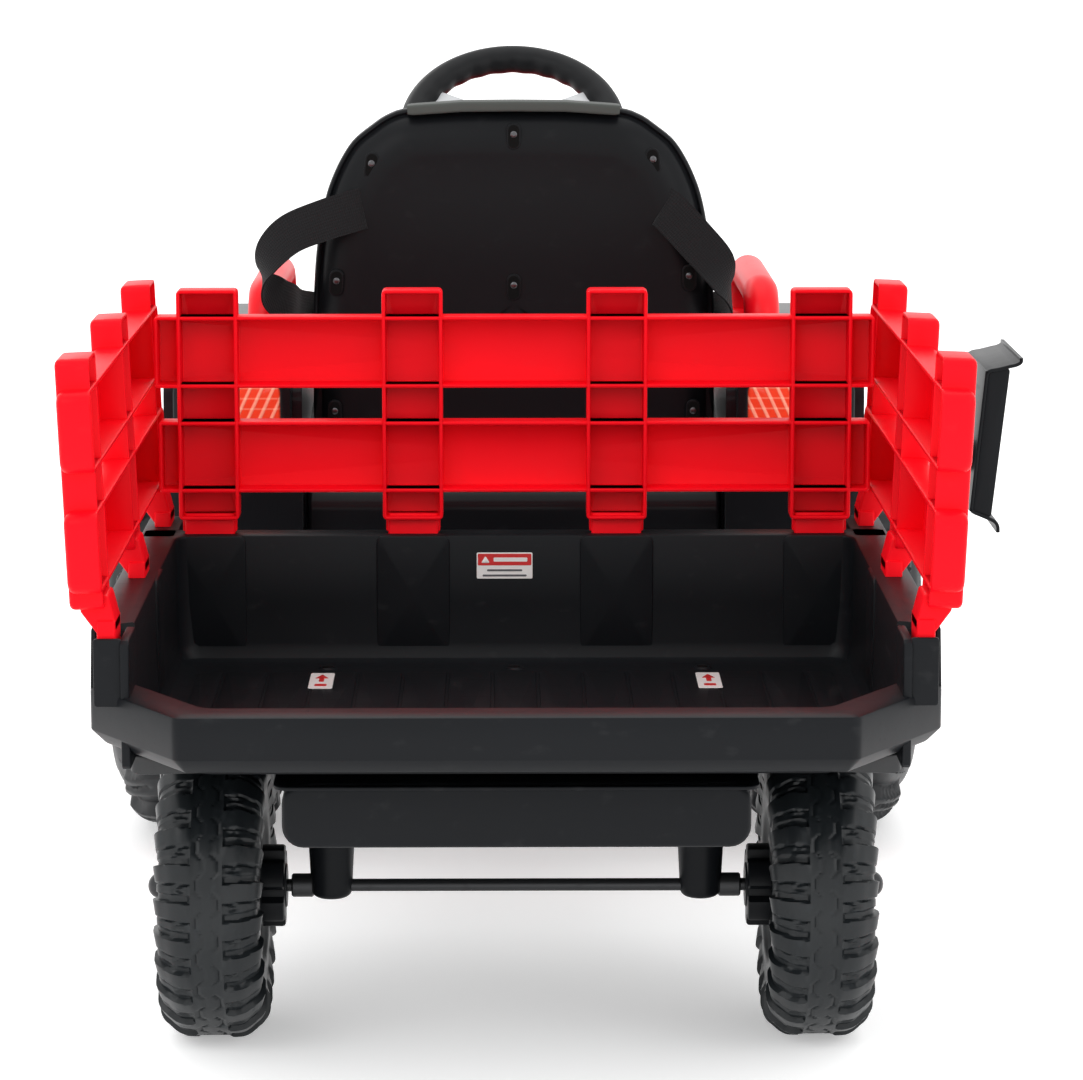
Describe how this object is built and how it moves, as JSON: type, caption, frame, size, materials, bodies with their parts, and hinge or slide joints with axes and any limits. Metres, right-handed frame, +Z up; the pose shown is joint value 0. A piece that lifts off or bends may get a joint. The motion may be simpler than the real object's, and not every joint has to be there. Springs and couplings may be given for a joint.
{
  "type": "pedal tractor kart with trailer",
  "caption": "Child's ride-on tractor kart with pedals, steering, a swinging digger arm and a hitched open cargo trailer with lift-out stake fences.",
  "frame": {"origin": "middle of the trailer's load floor, on the centre line; the ground is at z = -0.197", "axes": "+Y is forward, from trailer to tractor, +Z is up, +X is the vehicle's right"},
  "size_m": [0.761, 1.437, 0.5888],
  "materials": {
    "tub_black": "satin moulded polypropylene",
    "axle_steel": "black coated steel",
    "label_white": "printed film",
    "trailer_tyre": "hard blow moulded plastic",
    "knob_black": "satin",
    "fence_red": "glossy moulded plastic",
    "frame_black": "powder coated",
    "body_black": "satin to gloss moulded plastic",
    "lamp_red": "clear moulded lens",
    "handle_red": "glossy",
    "seat_black": "satin moulded plastic",
    "seat_grey": "fine grained",
    "screw_steel": "zinc plated",
    "webbing": "woven webbing",
    "buckle_grey": "satin",
    "hood_red": "glossy",
    "grille_black": "satin",
    "lamp_clear": "clear lens over silver",
    "chain_steel": "plain steel",
    "post_steel": "powder coated",
    "road_tyre": "hard blow moulded plastic",
    "hub_grey": "silver plastic",
    "pedal_black": "ribbed",
    "grip_black": "satin",
    "spoke_silver": "silver painted plastic",
    "knuckle_steel": "plain steel",
    "boom_grey": "satin",
    "bucket_black": "satin"
  },
  "bodies": {
    "tractor": {"chassis_beam": "frame_black", "rear_body": "body_black", "fender_left": "body_black", "fender_right": "body_black", "tail_light_left": "lamp_red", "tail_light_right": "lamp_red", "grab_handle_left": "handle_red", "grab_handle_right": "handle_red", "seat_shell": "seat_black", "seat_trim": "seat_grey", "seat_screws": "screw_steel", "belt_left": "webbing", "belt_right": "webbing", "belt_buckle": "buckle_grey", "hood": "hood_red", "grille": "grille_black", "headlights": "lamp_clear", "cowl": "body_black", "column_housing": "body_black", "front_bumper": "body_black", "front_axle_beam": "frame_black", "hitch_bracket": "axle_steel", "chain_guard": "body_black", "chain": "chain_steel", "swing_post": "post_steel"},
    "rear_axle": {"rear_shaft": "chain_steel", "rear_tyre_left": "road_tyre", "rear_tyre_right": "road_tyre", "rear_hub_left": "hub_grey", "rear_hub_right": "hub_grey"},
    "crankset": {"crank": "chain_steel", "chain_wheel": "chain_steel"},
    "pedal_l": {"pedal_left": "pedal_black"},
    "pedal_r": {"pedal_right": "pedal_black"},
    "steering": {"steering_rim": "grip_black", "steering_spokes": "spoke_silver"},
    "knuckle_l": {"knuckle_left": "knuckle_steel"},
    "knuckle_r": {"knuckle_right": "knuckle_steel"},
    "tie_rod": {"tie_rod": "knuckle_steel"},
    "front_wheel_l": {"front_tyre_left": "road_tyre", "front_hub_left": "hub_grey"},
    "front_wheel_r": {"front_tyre_right": "road_tyre", "front_hub_right": "hub_grey"},
    "swing": {"swing_head": "post_steel"},
    "boom_arm": {"boom": "boom_grey"},
    "bucket_body": {"bucket": "bucket_black"},
    "trailer": {"trailer_tub": "tub_black", "belly_box": "tub_black", "axle_posts": "tub_black", "axle_rod": "axle_steel", "tow_bar": "axle_steel", "cargo_labels": "label_white"},
    "trailer_wheel_l": {"trailer_tyre_left": "trailer_tyre", "hub_knob_left": "knob_black"},
    "trailer_wheel_r": {"trailer_tyre_right": "trailer_tyre", "hub_knob_right": "knob_black"},
    "fence_f": {"fence_front": "fence_red"},
    "fence_l": {"fence_left": "fence_red"},
    "fence_r": {"fence_right": "fence_red"}
  },
  "joints": [
    {"name": "rear_axle_spin", "type": "hinge", "parent": "tractor", "child": "rear_axle", "pos_m": [0, 0.554, -0.039], "axis": [1, 0, 0], "continuous": true},
    {"name": "crank_spin", "type": "hinge", "parent": "tractor", "child": "crankset", "pos_m": [0, 0.796, -0.037], "axis": [1, 0, 0], "continuous": true},
    {"name": "pedal_left_spin", "type": "hinge", "parent": "crankset", "child": "pedal_l", "pos_m": [-0.126, 0.796, 0.021], "axis": [1, 0, 0], "continuous": true},
    {"name": "pedal_right_spin", "type": "hinge", "parent": "crankset", "child": "pedal_r", "pos_m": [0.126, 0.796, -0.095], "axis": [1, 0, 0], "continuous": true},
    {"name": "steering_turn", "type": "hinge", "parent": "tractor", "child": "steering", "pos_m": [0, 0.704, 0.33], "axis": [0, -0.6428, 0.766], "range_deg": [-70, 70]},
    {"name": "knuckle_left_yaw", "type": "hinge", "parent": "tractor", "child": "knuckle_l", "pos_m": [-0.122, 1.024, -0.077], "axis": [0, 0, 1], "range_deg": [-25, 25]},
    {"name": "knuckle_right_yaw", "type": "hinge", "parent": "tractor", "child": "knuckle_r", "pos_m": [0.122, 1.024, -0.077], "axis": [0, 0, 1], "range_deg": [-25, 25]},
    {"name": "tie_rod_shift", "type": "slide", "parent": "tractor", "child": "tie_rod", "axis": [1, 0, 0], "range_m": [-0.022, 0.022]},
    {"name": "front_wheel_left_spin", "type": "hinge", "parent": "knuckle_l", "child": "front_wheel_l", "pos_m": [-0.193, 1.024, -0.077], "axis": [1, 0, 0], "continuous": true},
    {"name": "front_wheel_right_spin", "type": "hinge", "parent": "knuckle_r", "child": "front_wheel_r", "pos_m": [0.193, 1.024, -0.077], "axis": [1, 0, 0], "continuous": true},
    {"name": "digger_swing", "type": "hinge", "parent": "tractor", "child": "swing", "pos_m": [0, 1.136, 0.106], "axis": [0, 0, 1], "range_deg": [0, 180]},
    {"name": "boom_lift", "type": "hinge", "parent": "swing", "child": "boom_arm", "pos_m": [0.036, 1.136, 0.106], "axis": [0, -1, 0], "range_deg": [-8, 40]},
    {"name": "bucket_curl", "type": "hinge", "parent": "boom_arm", "child": "bucket_body", "pos_m": [0.378, 1.136, 0.003], "axis": [0, -1, 0], "range_deg": [-55, 8]},
    {"name": "hitch_yaw", "type": "hinge", "parent": "tractor", "child": "trailer", "pos_m": [0, 0.354, -0.039], "axis": [0, 0, 1], "range_deg": [-16, 16]},
    {"name": "trailer_wheel_left_spin", "type": "hinge", "parent": "trailer", "child": "trailer_wheel_l", "pos_m": [-0.19, -0.016, -0.102], "axis": [1, 0, 0], "continuous": true},
    {"name": "trailer_wheel_right_spin", "type": "hinge", "parent": "trailer", "child": "trailer_wheel_r", "pos_m": [0.19, -0.016, -0.102], "axis": [1, 0, 0], "continuous": true},
    {"name": "fence_front_lift", "type": "slide", "parent": "trailer", "child": "fence_f", "axis": [0, 0, 1], "range_m": [0, 0.04]},
    {"name": "fence_left_lift", "type": "slide", "parent": "trailer", "child": "fence_l", "axis": [0, 0, 1], "range_m": [0, 0.04]},
    {"name": "fence_right_lift", "type": "slide", "parent": "trailer", "child": "fence_r", "axis": [0, 0, 1], "range_m": [0, 0.04]}
  ],
  "couplings": [
    {"joint": "crank_spin", "follows": "rear_axle_spin", "ratio": 0.5},
    {"joint": "knuckle_left_yaw", "follows": "steering_turn", "ratio": 0.35},
    {"joint": "knuckle_right_yaw", "follows": "steering_turn", "ratio": 0.35},
    {"joint": "tie_rod_shift", "follows": "steering_turn", "m_per_rad": 0.0175}
  ]
}
